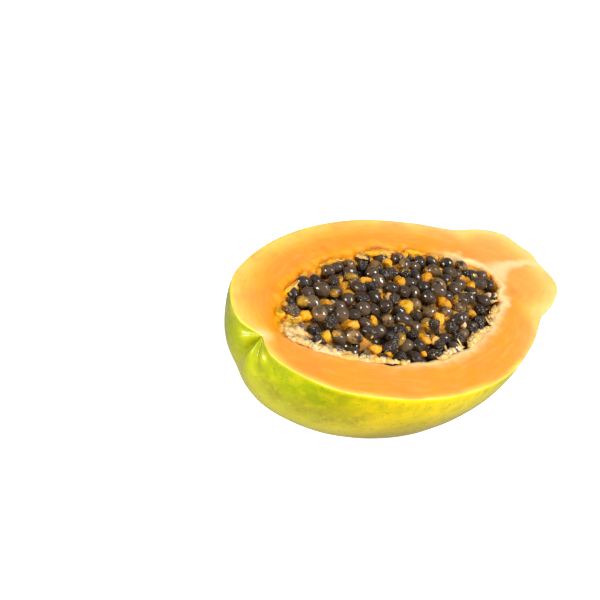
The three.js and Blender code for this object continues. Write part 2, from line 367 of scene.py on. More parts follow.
back = Vector((
    math.sin(PHOTO_AZIMUTH) * math.cos(PHOTO_ELEVATION),
    -math.cos(PHOTO_AZIMUTH) * math.cos(PHOTO_ELEVATION),
    math.sin(PHOTO_ELEVATION),
))
camera = bpy.data.objects.new("camera", bpy.data.cameras.new("camera"))
bpy.context.scene.collection.objects.link(camera)
camera.data.lens = LENS
camera.data.clip_end = 10
facing = (-back).to_track_quat("-Z", "Y").to_matrix()
camera.matrix_world = Matrix.LocRotScale(
    PHOTO_AIM + back * PHOTO_DISTANCE,
    facing @ Matrix.Rotation(PHOTO_ROLL, 3, "Z"),
    None,
)
bpy.context.scene.camera = camera
bpy.context.scene.view_settings.view_transform = "Standard"
print("the camera stands at", [round(place, 3) for place in camera.matrix_world.translation], "m")


# %% Lights
def soft_box(name, azimuth, elevation, distance, width, height, watts):
    """A rectangle of light that faces the fruit from the given side."""
    a, e = math.radians(azimuth), math.radians(elevation)
    towards = Vector((math.sin(a) * math.cos(e), -math.cos(a) * math.cos(e), math.sin(e)))
    data = bpy.data.lights.new(name, "AREA")
    data.shape = "RECTANGLE"
    data.size = width
    data.size_y = height
    data.energy = watts
    lamp = bpy.data.objects.new(name, data)
    lamp.location = Vector((0, 0, 0.03)) + towards * distance
    lamp.rotation_euler = towards.to_track_quat("Z", "Y").to_euler()
    bpy.context.scene.collection.objects.link(lamp)
    return lamp


# Azimuth and elevation in degrees, then distance, width and height in metres, and watts
soft_box("key_light", 35, 46, 0.9, 0.15, 0.34, 4.8)
soft_box("ceiling_panel", 20, 78, 1.4, 1.7, 1.7, 0.8)
front_panel = soft_box("front_panel", -31, 10, 1.3, 1.5, 0.35, 21.0)
soft_box("left_fill", -109, 15, 0.9, 0.16, 0.42, 4.6)
left_card = soft_box("left_card", -106, 10, 0.9, 0.36, 0.6, 6.5)
# The long panel only lifts the shadows and never mirrors in wet surfaces; the card only mirrors
front_panel.visible_glossy = False
left_card.visible_diffuse = False
print("lamps:", sorted(bpy.data.lights.keys()))

world = bpy.data.worlds.new("white_room")
bpy.context.scene.world = world
world.use_nodes = True
sky = world.node_tree.nodes["Background"]
sky.inputs["Color"].default_value = (1, 1, 1, 1)


# %% [markdown]
# ## Materials by nodes
# One small function adds a node, sets its values and joins its inputs. Every material below is a list
# of such calls round one Principled surface. A second small function joins outputs to that surface,
# and a third lays colours over each other in patches, since every part of a fruit is mottled.

# %% Add a node
def add_node(owner, kind, settings, output=0):
    """Add a node to a material or to the world and give back one of its outputs. A setting's value is
    another node's output, which is linked, a #rrggbb colour, a list of (place, #rrggbb) stops for a
    colour ramp, or plain."""
    tree = owner.node_tree
    node = tree.nodes.new(kind)
    for key, value in settings.items():
        if key == "stops":
            for _ in value[2:]:
                node.color_ramp.elements.new(0.5)
            for element, (place, colour) in zip(node.color_ramp.elements, value):
                element.position = place
                element.color = linear(colour)
        elif isinstance(value, bpy.types.NodeSocket):
            tree.links.new(value, node.inputs[key])
        elif isinstance(key, str) and hasattr(node, key):
            setattr(node, key, value)
        else:
            node.inputs[key].default_value = linear(value) if isinstance(value, str) else value
    return node.outputs[output]


def new_material(name, settings):
    """An empty material with its Principled surface, whose constant values are set on it."""
    material = bpy.data.materials.new(name)
    material.use_nodes = True
    surface = material.node_tree.nodes["Principled BSDF"]
    for key, value in settings.items():
        surface.inputs[key].default_value = value
    print("material:", name)
    return material, surface


def join(node, outputs):
    """Link outputs of other nodes to a node's inputs by their names."""
    for key, output in outputs.items():
        node.id_data.links.new(output, node.inputs[key])


def patches(material, colour, place, layers):
    """Lay colours over another in patches of noise. A layer is the width of its patches in mm, the
    noise's detail and roughness, the noise values where it sets in and is full, its largest share and
    its colour."""
    for width, detail, roughness, low, high, most, tint in layers:
        blobs = add_node(material, "ShaderNodeTexNoise", {
            "Vector": place, "Scale": 1 / (width * MM), "Detail": detail, "Roughness": roughness,
        })
        share = add_node(material, "ShaderNodeMapRange",
                         {"Value": blobs, "From Min": low, "From Max": high, "To Max": most})
        colour = add_node(material, "ShaderNodeMix",
                          {"data_type": "RGBA", 0: share, 6: colour, 7: tint}, 2)
    return colour


# %% The room behind
ROOM_LIGHT = 0.22
camera_ray = add_node(world, "ShaderNodeLightPath", {}, "Is Camera Ray")
room_glow = add_node(world, "ShaderNodeMath",
                     {"operation": "MULTIPLY_ADD", 0: camera_ray, 1: 1 - ROOM_LIGHT, 2: ROOM_LIGHT})
join(sky, {"Strength": room_glow})
print("the room lights the fruit at", ROOM_LIGHT, "of the white that the camera sees")


# %% Paper floor
FLOOR_IN_SHINE = 0.18
FLOOR_HALF = 2000


def white_paper():
    """Overexposed white paper: the camera sees it glow, so shadows on it stay faint, the fruit's shine
    sees a share of the glow, and every other ray meets plain grey paper."""
    material, surface = new_material("matte_white_paper", {
        "Base Color": linear("#f4f4f4"),
        "Roughness": 0.9,
        "Specular IOR Level": 0.1,
        "Emission Color": (1, 1, 1, 1),
        "Emission Strength": 0.85,
    })
    direct = add_node(material, "ShaderNodeLightPath", {}, "Is Camera Ray")
    mirrored = add_node(material, "ShaderNodeLightPath", {}, "Is Glossy Ray")
    glows = add_node(material, "ShaderNodeMath",
                     {"operation": "MULTIPLY_ADD", 0: mirrored, 1: FLOOR_IN_SHINE, 2: direct})
    grey = add_node(material, "ShaderNodeBsdfDiffuse", {"Color": "#6c6c6c"})
    seen = add_node(material, "ShaderNodeMixShader", {0: glows, 1: grey, 2: surface.outputs[0]})
    join(material.node_tree.nodes["Material Output"], {"Surface": seen})
    return material


corners = np.array([[-1, -1, 0], [1, -1, 0], [1, 1, 0], [-1, 1, 0]]) * FLOOR_HALF
floor = mesh_object("floor", corners + [0, 0, -0.02], [[0, 1, 2, 3]])
floor.data.materials.append(white_paper())
floor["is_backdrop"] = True

# %% [markdown]
# ## Skin
# A papaya's skin is a thin, smooth, waxy rind that grew as it is. It ripens from green to yellow in
# soft patches and a fine mottling, and it has faint flecks, a scuffed olive blotch and pores. It gives
# the eye a broad soft shine over a colour that changes slowly. The colour could be painted, but
# attributes of the mesh (the place along the fruit, the depth under the cut, the scar and the blotch)
# carry it with less work, and noise breaks it up.
# Low down, the depth under the cut also carries painted shade and a painted reflection.

# %% Ripening rind
def ripening_rind():
    """Waxy papaya rind: yellow under the cut, green at the flower end, flecked all over."""
    material, surface = new_material("ripening_waxy_rind", {
        "Roughness": 0.22,
        "IOR": 1.36,
        "Specular IOR Level": 0.3,
        "Subsurface Weight": 0.15,
        "Subsurface Radius": (1.0, 0.8, 0.05),
        "Subsurface Scale": 1.0 * MM,
    })
    place = add_node(material, "ShaderNodeTexCoord", {}, "Object")
    along, under, blotch, scar = (
        add_node(material, "ShaderNodeAttribute", {"attribute_name": key}, "Fac")
        for key in ("along", "under", "blotch", "scar")
    )

    # Ripe yellow in the middle, lime green towards the flower end, pale yellow at the neck
    base = add_node(material, "ShaderNodeValToRGB", {"Fac": along, "stops": [
        (0.0, "#b0ba18"), (0.04, "#90a204"), (0.08, "#929800"), (0.14, "#ccb800"), (0.21, "#fad200"),
        (0.5, "#ead400"), (0.75, "#c8cc10"), (1.0, "#dcdc4e"),
    ]})
    base = patches(material, base, place, [
        (22, 2.0, 0.5, 0.52, 0.74, 0.35, "#b0ac06"),
        (5, 4.0, 0.62, 0.46, 0.66, 0.35, "#f8dc08"),
        (5, 4.0, 0.62, 0.5, 0.34, 0.4, "#aaa40c"),
    ])

    # Painted light: low down the rind is painted darker olive in the middle, as shade, and paler at the
    # flower end, as a reflection of the table
    low_shade_and_reflection = add_node(material, "ShaderNodeMapRange",
                        {"Value": under, "From Min": 9.0, "From Max": 24.0, "To Max": 0.75})
    shade_and_reflection_colour = add_node(material, "ShaderNodeValToRGB", {"Fac": along, "stops": [
        (0.0, "#eae04a"), (0.15, "#efe03a"), (0.26, "#b2a000"), (0.7, "#a8a200"), (1.0, "#d0ce40"),
    ]})

    # A thin line of pure yellow where the rind meets the cut, faint at the flower end
    edge = add_node(material, "ShaderNodeMapRange", {"Value": under, "From Min": 1.9, "From Max": 0.4})
    ripe = add_node(material, "ShaderNodeMapRange",
                    {"Value": along, "From Min": 0.02, "From Max": 0.24, "To Min": 0.25, "To Max": 0.85})
    edge = add_node(material, "ShaderNodeMath", {"operation": "MULTIPLY", 0: edge, 1: ripe})

    # The olive blotch, broken up by mottling
    scuffed = add_node(material, "ShaderNodeTexNoise",
                       {"Vector": place, "Scale": 1 / (2.6 * MM), "Detail": 5.0, "Roughness": 0.7})
    scuffed = add_node(material, "ShaderNodeMapRange",
                       {"Value": scuffed, "From Min": 0.32, "From Max": 0.6, "To Max": 0.9})
    scuffed = add_node(material, "ShaderNodeMath", {"operation": "MULTIPLY", 0: scuffed, 1: blotch})

    for share, over in ((low_shade_and_reflection, shade_and_reflection_colour), (edge, "#ffe810"), (scuffed, "#a08e20")):
        base = add_node(material, "ShaderNodeMix", {"data_type": "RGBA", 0: share, 6: base, 7: over}, 2)

    # Flecks: real pores are 0.2 mm, drawn here near 1 mm so that they show
    base = patches(material, base, place, [(1.5, 2.0, 0.6, 0.635, 0.72, 0.6, "#7d7f12")])
    base = add_node(material, "ShaderNodeMix", {"data_type": "RGBA", 0: scar, 6: base, 7: "#9c8450"}, 2)

    # Pores of half a millimetre over ripples of five, and a corky scar
    pores = add_node(material, "ShaderNodeTexNoise",
                     {"Vector": place, "Scale": 1 / (0.6 * MM), "Detail": 2.0})
    ripples = add_node(material, "ShaderNodeTexNoise",
                       {"Vector": place, "Scale": 1 / (5 * MM), "Detail": 2.0})
    normal = add_node(material, "ShaderNodeBump", {"Distance": 0.14 * MM, "Height": ripples})
    normal = add_node(material, "ShaderNodeBump",
                      {"Distance": 0.03 * MM, "Height": pores, "Normal": normal})
    cork = add_node(material, "ShaderNodeMath", {"operation": "MULTIPLY", 0: pores, 1: scar})
    normal = add_node(material, "ShaderNodeBump",
                      {"Distance": 0.5 * MM, "Height": cork, "Normal": normal})
    join(surface, {"Base Color": base, "Normal": normal})
    return material


# %% [markdown]
# ## Flesh
# The flesh is wet, soft and full of water, so light goes in and comes out again some millimetres on:
# that is what subsurface scattering gives. Its colour runs in bands that follow the rind, from yellow
# under the skin through peach to orange, and it is deepest at the cavity's far rim. The bands are worked
# out on the mesh as the attributes ripeness, deep and pale, and noise along the bands draws the fibres.

# %% Ripe flesh
def ripe_flesh():
    """Cut papaya flesh: bands by the distance from the rind, streaked by fibres, and moist."""
    material, surface = new_material("ripe_moist_flesh", {
        "Roughness": 0.42,
        "IOR": 1.34,
        "Specular IOR Level": 0.35,
        "Subsurface Weight": 0.35,
        "Subsurface Radius": (1.0, 0.45, 0.1),
        "Subsurface Scale": 1.8 * MM,
    })
    place = add_node(material, "ShaderNodeTexCoord", {}, "Object")
    flow = add_node(material, "ShaderNodeAttribute", {"attribute_name": "flow"}, "Vector")
    ripeness, deep, pale, wall, blush = (
        add_node(material, "ShaderNodeAttribute", {"attribute_name": key}, "Fac")
        for key in ("ripeness", "deep", "pale", "wall", "blush")
    )

    # Bands, whose borders wander along the fibres
    fibres = add_node(material, "ShaderNodeTexNoise",
                      {"Vector": flow, "Scale": 1 / (3.2 * MM), "Detail": 4.0, "Roughness": 0.6})
    wander = add_node(material, "ShaderNodeMapRange",
                      {"Value": fibres, "From Min": 0.2, "From Max": 0.8, "To Min": -0.12, "To Max": 0.12})
    depth = add_node(material, "ShaderNodeMath", {"operation": "ADD", 0: ripeness, 1: wander})
    base = add_node(material, "ShaderNodeValToRGB", {"Fac": depth, "stops": [
        (0.0, "#ffe650"), (0.10, "#ffe06a"), (0.30, "#fdd05c"), (0.55, "#fcbc44"), (0.85, "#faa935"),
        (1.0, "#faa331"),
    ]})

    # Rosy clouds, then light and dark streaks along the fibres
    base = patches(material, base, place, [(14, 3.0, 0.5, 0.45, 0.68, 0.6, "#fa9d44")])
    base = patches(material, base, flow, [
        (1.5, 3.0, 0.6, 0.5, 0.72, 0.3, "#ffc275"),
        (1.5, 3.0, 0.6, 0.48, 0.3, 0.3, "#f8922a"),
    ])

    # Saturated far rim, pale near rim and core, orange wall, a few bruised spots, and painted shade in the
    # far rim's dent
    lumpy = add_node(material, "ShaderNodeTexNoise",
                     {"Vector": place, "Scale": 1 / (2.5 * MM), "Detail": 3.0})
    inside = add_node(material, "ShaderNodeValToRGB", {"Fac": lumpy, "stops": [
        (0.3, "#f08206"), (0.5, "#fda310"), (0.7, "#ffb93c"),
    ]})
    for share, over in ((deep, "#fb9a04"), (pale, "#fee0a2"), (wall, inside), (blush, "#ef6a10")):
        base = add_node(material, "ShaderNodeMix", {"data_type": "RGBA", 0: share, 6: base, 7: over}, 2)

    # Cut cells about half a millimetre wide over the fibres
    cells = add_node(material, "ShaderNodeTexNoise",
                     {"Vector": place, "Scale": 1 / (0.7 * MM), "Detail": 2.0, "Roughness": 0.7})
    normal = add_node(material, "ShaderNodeBump", {"Distance": 0.12 * MM, "Height": fibres})
    normal = add_node(material, "ShaderNodeBump", {"Distance": 0.08 * MM, "Height": cells, "Normal": normal})
    join(surface, {"Base Color": base, "Normal": normal})
    return material


# %% [markdown]
# ## The half fruit
# Skin and flesh grew as one piece, so they are one closed mesh with two materials. It could be a solid
# cut with a Boolean, but then the cut face would be one flat polygon with no points to shape. Here it
# is drawn as three grids that share their edges: the skin, the cut face in rings from the rind to the
# cavity's rim, and the bowl below. The cut edge is rounded by a fraction of a millimetre so that it
# catches the light.

# %% The skin's grid
ROWS = 300
COLUMNS = 110
EDGE_ROUND = 0.35
SKIN_SWELLS = [(0.16, 17, 3), (0.07, 6, 4)]


def skin_grid():
    """Rows from pole to pole, columns from the -Y edge under the fruit to the +Y edge. Soft swells are
    added, and fade at the cut, whose edge is rounded: z = -root of (z² + r²)."""
    t, across = np.meshgrid(np.arange(ROWS + 1) / ROWS, np.arange(COLUMNS + 1) / COLUMNS, indexing="ij")
    angle = np.pi * (1 - across)
    smooth = skin(t, angle)
    swells = waves(smooth, SKIN_SWELLS) * soft_step(0, 4, -smooth[..., 2]) * np.sin(np.pi * t) ** 0.5
    shell = skin(t, angle, swells + pleat_relief(t, angle) * np.sin(angle))
    shell[..., 0] += stalk_lump(t, angle, smooth)
    shell[..., 2] = -np.hypot(shell[..., 2], EDGE_ROUND)
    return shell


shell = skin_grid()
print("skin grid:", shell.shape)

# %% The cut edge as one loop
loop_t = np.concatenate([np.arange(ROWS + 1), np.arange(ROWS - 1, 0, -1)]) / ROWS
loop_angle = np.concatenate([np.full(ROWS + 1, np.pi), np.zeros(ROWS - 1)])
loop_size = len(loop_t)
edge_points = skin(loop_t, loop_angle)
edge_points[:, 0] += stalk_lump(loop_t, loop_angle, edge_points)
cavity_angle = np.arctan2(
    (edge_points[:, 1] - bow(edge_points[:, 0])) / CUT_HALF_WIDTH,
    (edge_points[:, 0] - CAVITY_CENTRE_X) / (FRUIT_LENGTH / 2),
)
near_side = soft_step(0.2, -0.45, np.sin(cavity_angle))
far_side = soft_step(0.0, 0.6, np.sin(cavity_angle))
print("cut edge:", loop_size, "points")

# %% Rims and walls of the bowl
# Each layer of noise is its height and width in mm and its seed
WALL_SLOPE = 3.4
END_SLOPE = 7.5
RIM_TEARS = [(0.3, 1.3, 5), (0.5, 4, 15)]
WALL_LUMPS = [(0.8, 5, 6), (0.4, 1.7, 7)]
WALL_LUMPS_SUNK = 0.3


def rim_push(angle, depth):
    """Relief added to the model's wall, in mm: fine tears at the rim, lumps below it, and on the far
    side and at the flower end pulp that clings to the wall, so that it slopes instead of dropping."""
    at = cavity(angle, depth)
    fine = waves(at, RIM_TEARS) * (1 - depth) ** 4
    bulges = waves(at, WALL_LUMPS) - WALL_LUMPS_SUNK
    clinging = WALL_SLOPE * soft_step(-0.1, 0.5, np.sin(angle))
    clinging = clinging + END_SLOPE * soft_step(0.8, 1, -np.cos(angle))
    return fine + soft_step(0.0, 0.055, depth) * (bulges - clinging * (1 + 0.4 * noise(at, 7, 14)))


# %% The cut face and the bowl
FACE_RINGS = 44
BOWL_RINGS = 30
FACE_SWELLS = [(0.10, 8, 8), (0.05, 2.6, 9)]
RIM_FALL = {"near": 0.6, "far": 1.6}
RIM_REACH = {"near": 0.7, "far": 2.0}
RIM_FALL_FADES = 9
DENT = {"x": 84.5, "y": 26.5, "length": 3.2, "width": 2.6, "depth": 1.1}


def face_rings(rim):
    """Rings of the cut face: a quarter circle at the edge, then straight steps to the rim. The face
    swells a little, and near the rim it falls by a bell of the distance that is left."""
    width = np.linalg.norm(rim - edge_points, axis=1)
    quarter = np.radians([30, 60, 90])
    turn = EDGE_ROUND * (1 - np.cos(quarter))[:, None]
    spread = np.linspace(0, 1, FACE_RINGS) ** 0.9
    inward = np.concatenate([turn + 0 * width, EDGE_ROUND + (width - EDGE_ROUND) * spread[1:, None]])
    face = edge_points + (rim - edge_points) * (inward / width)[..., None]
    face[:3, :, 2] = (-EDGE_ROUND * (1 - np.sin(quarter)))[:, None]
    pit = width - inward
    swell = waves(face, FACE_SWELLS)
    reach = RIM_REACH["near"] + (RIM_REACH["far"] - RIM_REACH["near"]) * far_side
    fall = RIM_FALL["near"] + (RIM_FALL["far"] - RIM_FALL["near"]) * far_side
    fall = fall * np.exp(-((pit / reach) ** 2)) * (1 + 0.6 * noise(face, 3.5, 10))
    dent = np.exp(-(((face[..., 0] - DENT["x"]) / DENT["length"]) ** 2))
    dent = dent * np.exp(-(((face[..., 1] - DENT["y"]) / DENT["width"]) ** 2))
    face[..., 2] += soft_step(0.3, 2.5, inward) * (swell - fall - DENT["depth"] * dent)
    return face, inward, pit


rim = cavity(cavity_angle, np.zeros(loop_size), rim_push(cavity_angle, np.zeros(loop_size)))
face, inward, pit = face_rings(rim)
bowl_depth = np.linspace(0, 1, BOWL_RINGS + 1)[1:-1, None] ** 1.6 + 0 * cavity_angle
bowl_angle = cavity_angle + 0 * bowl_depth
bowl = cavity(bowl_angle, bowl_depth, rim_push(bowl_angle, bowl_depth))
bowl[..., 2] += face[-1, :, 2] * np.exp(-bowl_depth * RIM_FALL_FADES)
print("cut face rings:", face.shape[:2], "bowl rings:", bowl.shape[:2])

# %% Points of the whole half, and their numbers
SKIN_INSIDE = (ROWS - 1, COLUMNS - 1)
RING_START = loop_size + np.prod(SKIN_INSIDE)


def half_numbers():
    """Two grids of point numbers: the skin, and the loops from the edge to the bowl's bottom. They
    share the edge loop, which comes first."""
    skin_numbers = np.zeros((ROWS + 1, COLUMNS + 1), int)
    skin_numbers[:, 0] = np.arange(ROWS + 1)
    skin_numbers[:, -1] = -np.arange(ROWS + 1) % loop_size
    skin_numbers[0] = 0
    skin_numbers[ROWS] = ROWS
    skin_numbers[1:ROWS, 1:COLUMNS] = loop_size + np.arange(np.prod(SKIN_INSIDE)).reshape(SKIN_INSIDE)
    rings = len(face) + len(bowl)
    ring_numbers = RING_START + np.arange(rings * loop_size).reshape(rings, loop_size)
    bottom = np.full(loop_size, RING_START + rings * loop_size)
    loops = np.vstack([np.arange(loop_size), ring_numbers, bottom])
    return skin_numbers, np.hstack([loops, loops[:, :1]])


def half_points():
    """The edge loop, the inside of the skin grid, the face, the bowl and its bottom, one after another."""
    edge_rows = np.r_[0 : ROWS + 1, ROWS - 1 : 0 : -1]
    edge = np.where(loop_angle[:, None] > 1, shell[edge_rows, 0], shell[edge_rows, -1])
    inside = shell[1:ROWS, 1:COLUMNS].reshape(-1, 3)
    bottom = cavity(np.zeros(1), np.ones(1))
    return np.vstack([edge, inside, face.reshape(-1, 3), bowl.reshape(-1, 3), bottom])


points = half_points()
print("half fruit:", len(points), "points")

# %% [markdown]
# ## Where the colours go
# Most attributes are one number a point, from 0 to 1. The depth under the cut is in millimetres, and
# the flow is a place for the fibres' noise. Ripeness rises from the rind inward, fast on the near side
# and slowly on the far side and at the ends. Deep and pale mark the rim, where the flesh is saturated
# on the far side and pale on the near side and round the stem end. The pale core is the bundle of
# veins that ran from the stem to the seeds.

# %% Bands of the flesh
BAND_WIDTHS = {"near": 3.0, "far": 10.5, "flower_end": 13.0, "stem_end": 15.0}
STEM_END_X = (116, 134)
FLOWER_END_X = (34, 12)
NEAR_RIM_PALES_X = (26, 62)

stem_end = soft_step(*STEM_END_X, edge_points[:, 0])
flower_end = soft_step(*FLOWER_END_X, edge_points[:, 0])
far_band = BAND_WIDTHS["far"] + (BAND_WIDTHS["flower_end"] - BAND_WIDTHS["far"]) * flower_end
band = far_band + (BAND_WIDTHS["near"] - far_band) * near_side
band = band + (BAND_WIDTHS["stem_end"] - band) * stem_end
ripeness = np.clip(inward / band, 0, 1)
round_stem = soft_step(0.62, 0.9, np.cos(cavity_angle))
bright_rim = np.maximum(near_side, round_stem)
ragged_pit = pit * (1 + 0.35 * noise(face, 3.2, 16)) + 0.5 * noise(face, 1.6, 17)
deep = (1 - bright_rim) * np.exp(-((np.maximum(ragged_pit - 0.6, 0) / 2.6) ** 2))
halo = np.exp(-(((ragged_pit - 2.0 * round_stem) / (2.6 - 0.6 * round_stem)) ** 2))
pale_rim = bright_rim * halo * (0.95 + 0.15 * noise(face, 4, 18))
pale_rim = pale_rim * (0.15 + 0.85 * soft_step(*NEAR_RIM_PALES_X, face[..., 0]))
print("band widths:", band.min().round(1), "to", band.max().round(1), "mm")

# %% Core, bruises and scars
# The core is x, y and half width along its line. A spot is its place and radius; the bruises and the dent's
# painted shade have a strength too
CORE_LINE = np.array([[124, -3, 7], [131, -1.5, 5], [139, -0.3, 2.8], [147, -0.5, 1.7], [155, -4.5, 3]])
# The first spot lies in the dent of the far rim: its deeper orange-red is partly the flesh's own and partly
# painted shade. The others are bruises.
BRUISES_AND_DENT_SHADE = [(85.3, 25.2, 2.0, 0.9), (23.4, 18.5, 1.9, 0.4), (60, 30.5, 1.6, 0.25), (128, -14, 2.5, 0.3)]
BLOTCHES = [(9, -23, -15.4, 6), (16, -29.5, -15.5, 6.5), (24, -35, -14, 6), (4, -14, -15, 5)]
PUCKER = {"x": 3.5, "radius": 2.6}
CORE_FROM_X = (121, 130)
NECK_PALES_X = (120, 134)
NECK_EDGE_PALES_X = (75, 130)
SCAR_FROM_X = (150, 152.5)
SCAR_RADII = (12.5, 10)


def core_of(at):
    """The pale core: 1 on the bent line of veins, falling off over the half width given along it."""
    line = np.interp(at[..., 0], CORE_LINE[:, 0], CORE_LINE[:, 1])
    half = np.interp(at[..., 0], CORE_LINE[:, 0], CORE_LINE[:, 2])
    off = np.abs(at[..., 1] - line + 0.9 * noise(at, 5, 11)) / half * (1 + 0.25 * noise(at, 3.0, 12))
    return soft_step(1.7, 0.1, off) * soft_step(*CORE_FROM_X, at[..., 0] + 1.5 * noise(at, 3, 13))


def spots_of(at, spots):
    """Soft round spots: the largest of their bells, each e to the minus (distance / radius) squared."""
    bells = [
        spot[-1] * np.exp(-((np.linalg.norm(at[..., : len(spot) - 2] - spot[:-2], axis=-1) / spot[-2]) ** 2))
        for spot in spots
    ]
    return np.clip(np.max(bells, axis=0), 0, 1)


pucker = np.exp(-((np.hypot(face[..., 0] - PUCKER["x"], face[..., 1]) / PUCKER["radius"]) ** 2))
neck = 0.14 * soft_step(*NECK_PALES_X, face[..., 0])
neck = neck + 0.42 * soft_step(*NECK_EDGE_PALES_X, face[..., 0]) * np.exp(-inward / 4)
pale = np.max([0.95 * core_of(face), pale_rim, 0.9 * pucker, neck], axis=0)
blush = spots_of(face, BRUISES_AND_DENT_SHADE) * (0.8 + 0.3 * noise(face, 1.5, 19))
blotch = spots_of(points, [(*spot, 1.0) for spot in BLOTCHES])
on_scar = soft_step(*SCAR_RADII, np.hypot(points[:, 1], points[:, 2]))
scar = soft_step(*SCAR_FROM_X, points[:, 0]) * on_scar * (0.85 + 0.15 * noise(points, 1.2, 25))
print("palest", pale.max().round(2), "most blushed", blush.max().round(2))


# %% Attributes of the half fruit
FIBRE_STRETCH = 6
BOWL_FLOW = 20


def flow_field():
    """A coordinate for fibres, squeezed along the bands: a circle whose length is a sixth of the cut
    edge's, so a lump of noise there is six times as long as it is wide."""
    steps = np.linalg.norm(np.diff(edge_points, axis=0), axis=1)
    arc = np.concatenate([[0], np.cumsum(steps)])
    turn = 2 * np.pi * arc / (arc[-1] + 1)
    circle = np.stack([np.cos(turn), np.sin(turn)], -1) * arc[-1] / (2 * np.pi) / FIBRE_STRETCH
    deeper = (inward + pit)[0] + BOWL_FLOW * bowl_depth
    rings = np.vstack([inward, deeper])
    sides = np.broadcast_to(circle, (len(rings), loop_size, 2))
    flow = np.zeros((len(points), 3))
    flow[RING_START:-1] = np.concatenate([sides, rings[..., None]], -1).reshape(-1, 3)
    return flow * MM


def on_rings(on_face, in_bowl):
    """One number a point from values on the face rings and one value for the bowl, 0 on the skin."""
    below = np.full(bowl.shape[0] * loop_size + 1, in_bowl, float)
    return np.concatenate([np.zeros(RING_START), on_face.ravel(), below])


attributes = {
    "along": np.clip(points[:, 0] / FRUIT_LENGTH, 0, 1),
    "under": -points[:, 2],
    "ripeness": on_rings(ripeness, 1),
    "deep": on_rings(deep, 0),
    "pale": on_rings(pale, 0),
    "wall": on_rings(soft_step(0.5, -0.1, pit) * (1 - 0.5 * bright_rim), 1),
    "blush": on_rings(blush * soft_step(-0.5, 0.5, pit), 0),
    "blotch": blotch,
    "scar": scar,
    "flow": flow_field(),
}

# %% Build the half fruit
skin_numbers, loops = half_numbers()
skin_faces = faces_of(skin_numbers)
top_faces = faces_of(loops)
fruit = mesh_object("papaya_flesh", lay_down(points), skin_faces + top_faces, attributes)
dress(fruit, [ripening_rind(), ripe_flesh()], "papaya_half")
which = np.concatenate([np.zeros(len(skin_faces), int), np.ones(len(top_faces), int)])
fruit.data.polygons.foreach_set("material_index", which)

# %% [markdown]
# ## Where the seeds lie
# The model scattered its seeds by throwing darts: a spot is kept if it lies inside the cavity and is
# far enough from the others. The same rule with the same random numbers gives the same spots here.

# %% Scatter
PILE_MIDDLE = 0.6
PILE_FALL = 3.2
PILE_JITTER = 1.1
SEED_SPACING = 4.65
SEED_FROM_WALL = 2.4
SEEDS_FROM_X = 22
STRAND_COUNT = 18
STRAND_SPACING = 11
STRAND_FROM_SEED = 3.9
TRIES = 6000
RANDOM_SEED = 20


def outwardness(x, y, margin):
    """How far out a spot lies in the cavity: 0 in its middle and 1 at margin mm inside its rim."""
    along = (x - CAVITY_CENTRE_X) / (CAVITY_HALF_LENGTH - margin)
    across = np.abs(y - bow(x)) / (CAVITY_HALF_WIDTH - margin)
    return along**2 + across ** (2 / CAVITY_POINT)


def pile_height(x, y):
    """The heap's height over the cut face at a spot: highest in the middle."""
    return PILE_MIDDLE - PILE_FALL * outwardness(x, y, 0) ** 1.5


def on_heap(spots, lift):
    """Points over the given spots: the heap's height there plus a lift in mm."""
    spots = np.array(spots)
    return np.column_stack([spots, pile_height(spots[:, 0], spots[:, 1]) + lift])


def scatter(random, most, spacing, margin, reach, avoid, clear):
    """Spots thrown at random, kept inside the cavity's margin and reach, where they are a spacing
    away from each other and clear of the spots to avoid, until there are the most wanted."""
    spots = []
    for _ in range(TRIES):
        x = CAVITY_CENTRE_X + (next(random) * 2 - 1) * CAVITY_HALF_LENGTH
        y = (next(random) * 2 - 1) * (CAVITY_HALF_WIDTH - AXIS_BOW)
        if x < SEEDS_FROM_X or outwardness(x, y, margin) > reach:
            continue
        if any(math.hypot(a - x, b - y) < clear for a, b in avoid):
            continue
        if any(math.hypot(a - x, b - y) < spacing for a, b in spots):
            continue
        spots.append((x, y))
        if len(spots) >= most:
            break
    return spots


random = random_source(RANDOM_SEED)
strand_spots = scatter(random, STRAND_COUNT, STRAND_SPACING, margin=4, reach=0.85, avoid=[], clear=0)
seed_spots = scatter(random, TRIES, SEED_SPACING, SEED_FROM_WALL, 1, strand_spots, STRAND_FROM_SEED)
# A seed's four numbers are for its size, height, heading and tilt
draws = np.array([[next(random) for _ in range(4)] for _ in seed_spots])
print(len(strand_spots), "strands and", len(seed_spots), "seeds")

# %% [markdown]
# ## Seeds
# Each papaya seed is a dark, wrinkled kernel in a clear coat of jelly. Fresh coats are smooth and shine
# like wet glass, and where a coat has dried or torn the crinkled black kernel shows. Some keep a tan
# husk of tissue. All seeds are computed at once: one ball of directions, stretched, crinkled, turned
# and moved as arrays. Modelling them one by one would give the same picture in a hundred times the work.

